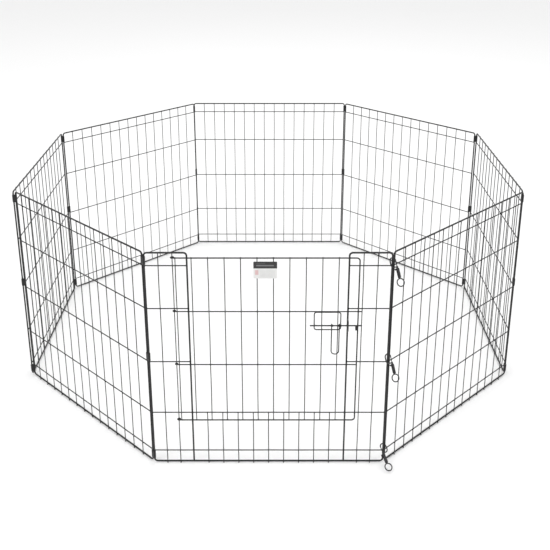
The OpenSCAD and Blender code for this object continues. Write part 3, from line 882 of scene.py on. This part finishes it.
class PLAYPEN_OT_latch(bpy.types.Operator):
    """Finishes the bolt, its guide, staples and rest, the keeper and the pull handle"""
    bl_idname = "playpen.latch"
    bl_label = "Latch"

    def execute(self, context):
        for node in ("keeper", "bolt_guide", "bolt_staples", "latch_handle"):
            refinish(node, latch_finish())
        refinish("latch_bolt", latch_finish(), 0.0002)
        refinish("bolt_rest", latch_finish(), 0.0005)
        self.welds(context)
        return {"FINISHED"}

    def welds(self, context):
        """Weld beads where the guide, its staples and the keeper meet the wires behind them."""
        place = panel_place(1)
        rng = random.Random(41)
        low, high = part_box("bolt_guide")
        guide_r = half("bolt_guide", 1)
        back = high[1] - FRONT_Y
        left = low[0] + guide_r - FRONT_X
        right = high[0] - guide_r - FRONT_X
        top = high[2] - guide_r
        bm = bmesh.new()
        for x in (left + 0.009, (left + right) / 2, right - 0.009):
            weld_bead(bm, (x, back, top), (0.0019, 0.0008, 0.0012), place, rng)
        staple_low, staple_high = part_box("bolt_staples")
        for x in (left, right):
            for z in (staple_low[2] + guide_r, staple_high[2] - guide_r):
                spot = (x, middle("bolt_guide", 1) - FRONT_Y - guide_r, z)
                weld_bead(bm, spot, (0.0017, 0.0007, 0.0017), place, rng)
        make_piece("latch_weld_beads", bm, latch_finish(), "door", "latch")
        keeper_low, keeper_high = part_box("keeper")
        keeper_r = half("keeper", 0)
        bm = bmesh.new()
        for z in (keeper_low[2] + keeper_r, keeper_high[2] - keeper_r):
            weld_bead(bm, (POST_X, -OUTER_R, z), (0.0020, 0.0008, 0.0020), place, rng)
        make_piece("keeper_weld_beads", bm, latch_finish(), "panel_1", "latch")


class PLAYPEN_OT_snap_hooks(bpy.types.Operator):
    """Finishes the three snap hooks that close the last corner"""
    bl_idname = "playpen.snap_hooks"
    bl_label = "Snap hooks"

    def execute(self, context):
        for k in (1, 2, 3):
            refinish(f"snap_hook_{k}", snap_finish(), 0.0003)
            refinish(f"snap_gate_{k}", gate_finish(), 0.0002)
            refinish(f"snap_ring_{k}", snap_finish())
            refinish(f"snap_spring_{k}", spring_finish())
        return {"FINISHED"}


class PLAYPEN_OT_tag(bpy.types.Operator):
    """Makes the printed tag on the door, and finishes the hooks on its back"""
    bl_idname = "playpen.tag"
    bl_label = "Tag"

    def execute(self, context):
        parts = context.scene.playpen_parts
        low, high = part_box("tag_plate")
        outline = self.outline(low, high, parts.tag_corner)
        ease = 0.0002
        layers = [(high[1], ease), (high[1] - ease, 0), (low[1] + ease, 0), (low[1], ease)]
        middle_x = (low[0] + high[0]) / 2
        middle_z = (low[2] + high[2]) / 2
        bm = bmesh.new()
        rings = []
        for y, back in layers:
            ring = []
            for x, z in outline:
                dx = x - middle_x
                dz = z - middle_z
                scale_x = 1 - back / abs(high[0] - middle_x)
                scale_z = 1 - back / abs(high[2] - middle_z)
                ring.append(bm.verts.new((middle_x + dx * scale_x, y, middle_z + dz * scale_z)))
            rings.append(ring)
        count = len(outline)
        for ring, following in zip(rings, rings[1:]):
            for k in range(count):
                n = (k + 1) % count
                bm.faces.new((ring[k], ring[n], following[n], following[k])).smooth = True
        bm.faces.new(rings[0])
        bm.faces.new(list(reversed(rings[-1])))
        make_piece("tag", bm, known("printed_tag", printed_tag), "door", "tag", "tag_plate")
        refinish("tag_clips", known("tag_hook_plastic", moulded), 0.0002)
        return {"FINISHED"}

    def outline(self, low, high, radius):
        points = []
        spots = [
            (high[0] - radius, high[2] - radius, 0), (low[0] + radius, high[2] - radius, 90),
            (low[0] + radius, low[2] + radius, 180), (high[0] - radius, low[2] + radius, 270),
        ]
        for x, z, first in spots:
            for k in range(7):
                angle = math.radians(first + 15 * k)
                points.append((x + radius * math.cos(angle), z + radius * math.sin(angle)))
        return points


class PLAYPEN_OT_stage(bpy.types.Operator):
    """Makes the floor, the soft lights and the camera"""
    bl_idname = "playpen.stage"
    bl_label = "Studio"

    def execute(self, context):
        stage = context.scene.playpen_stage
        self.floor(context, stage)
        self.lights(context, stage)
        self.camera(context, stage)
        context.scene.view_settings.view_transform = "Standard"
        context.scene.view_settings.look = "None"
        return {"FINISHED"}

    def floor(self, context, stage):
        finish = Finish("studio_floor")
        cloud = finish.noise(0.8, 2)
        grain = finish.noise(300, 3)
        tone = tuple(stage.floor)
        dimmer = tuple(value * 0.985 for value in tone)
        finish.set(
            Base_Color=finish.mix(cloud, tone, dimmer),
            Roughness=0.8 + (grain - 0.5) * 0.1,
            Normal=finish.bump(grain, 0.0001, 0.1),
            Specular_IOR_Level=0.2,
        )
        bm = bmesh.new()
        bmesh.ops.create_grid(bm, x_segments=24, y_segments=24, size=22)
        mesh = bpy.data.meshes.new("studio_floor")
        bm.to_mesh(mesh)
        bm.free()
        mesh.materials.append(finish.material)
        floor = bpy.data.objects.new("studio_floor", mesh)
        floor.location = (0, 8, cad_bounds[0][2])
        context.scene.collection.objects.link(floor)

    def lights(self, context, stage):
        world = bpy.data.worlds.new("studio_sky")
        world.use_nodes = True
        background = world.node_tree.nodes["Background"]
        background.inputs["Color"].default_value = (1, 1, 1, 1)
        background.inputs["Strength"].default_value = stage.sky
        context.scene.world = world
        for name, spot, size, power in (
            ("key_light", (-2.6, -3.2, 4.2), 3.0, 70),
            ("fill_light", (3.2, -2.4, 3.6), 3.4, 40),
            ("back_light", (0.4, 4.0, 4.4), 3.0, 36),
        ):
            light = bpy.data.lights.new(name, "AREA")
            light.shape = "DISK"
            light.size = size
            light.energy = power
            lamp = bpy.data.objects.new(name, light)
            lamp.location = spot
            aim = Vector((0, 0, 0.2)) - Vector(spot)
            lamp.rotation_euler = aim.to_track_quat("-Z", "Y").to_euler()
            context.scene.collection.objects.link(lamp)

    def camera(self, context, stage):
        lens = bpy.data.cameras.new("studio_camera")
        lens.sensor_width = 36
        lens.lens = stage.lens
        lens.shift_y = -0.15
        lens.clip_end = 60
        camera = bpy.data.objects.new("studio_camera", lens)
        camera.location = (FRONT_X + 0.0168, FRONT_Y - stage.distance, stage.eye_height)
        camera.rotation_euler = (math.radians(90) - stage.tilt, 0, 0)
        context.scene.collection.objects.link(camera)
        context.scene.camera = camera


class PLAYPEN_PT_panel(bpy.types.Panel):
    """Lists the steps that make the playpen"""
    bl_idname = "PLAYPEN_PT_panel"
    bl_label = "Playpen"
    bl_space_type = "VIEW_3D"
    bl_region_type = "UI"
    bl_category = "Playpen"

    def draw(self, context):
        column = self.layout.column()
        for step in STEPS:
            column.operator(step.bl_idname)
        for group in ("playpen_wires", "playpen_parts", "playpen_finish", "playpen_stage"):
            settings = getattr(context.scene, group)
            box = self.layout.box()
            for name in settings.bl_rna.properties.keys():
                if name not in ("rna_type", "name"):
                    box.prop(settings, name)


STEPS = (
    PLAYPEN_OT_stage,
    PLAYPEN_OT_plain_panels,
    PLAYPEN_OT_door_panel,
    PLAYPEN_OT_hinge_clips,
    PLAYPEN_OT_door,
    PLAYPEN_OT_latch,
    PLAYPEN_OT_tag,
    PLAYPEN_OT_snap_hooks,
)
GROUPS = {
    "playpen_wires": PlaypenWireSettings,
    "playpen_parts": PlaypenPartSettings,
    "playpen_finish": PlaypenFinishSettings,
    "playpen_stage": PlaypenStageSettings,
}


def register():
    for name, group in GROUPS.items():
        bpy.utils.register_class(group)
        setattr(bpy.types.Scene, name, bpy.props.PointerProperty(type=group))
    for step in STEPS:
        bpy.utils.register_class(step)
    bpy.utils.register_class(PLAYPEN_PT_panel)


def unregister():
    bpy.utils.unregister_class(PLAYPEN_PT_panel)
    for step in reversed(STEPS):
        bpy.utils.unregister_class(step)
    for name, group in GROUPS.items():
        delattr(bpy.types.Scene, name)
        bpy.utils.unregister_class(group)


def main():
    register()
    bpy.ops.playpen.stage()
    bpy.ops.playpen.plain_panels()
    bpy.ops.playpen.door_panel()
    bpy.ops.playpen.hinge_clips()
    bpy.ops.playpen.door()
    bpy.ops.playpen.latch()
    bpy.ops.playpen.tag()
    bpy.ops.playpen.snap_hooks()


if __name__ == "__main__":
    main()
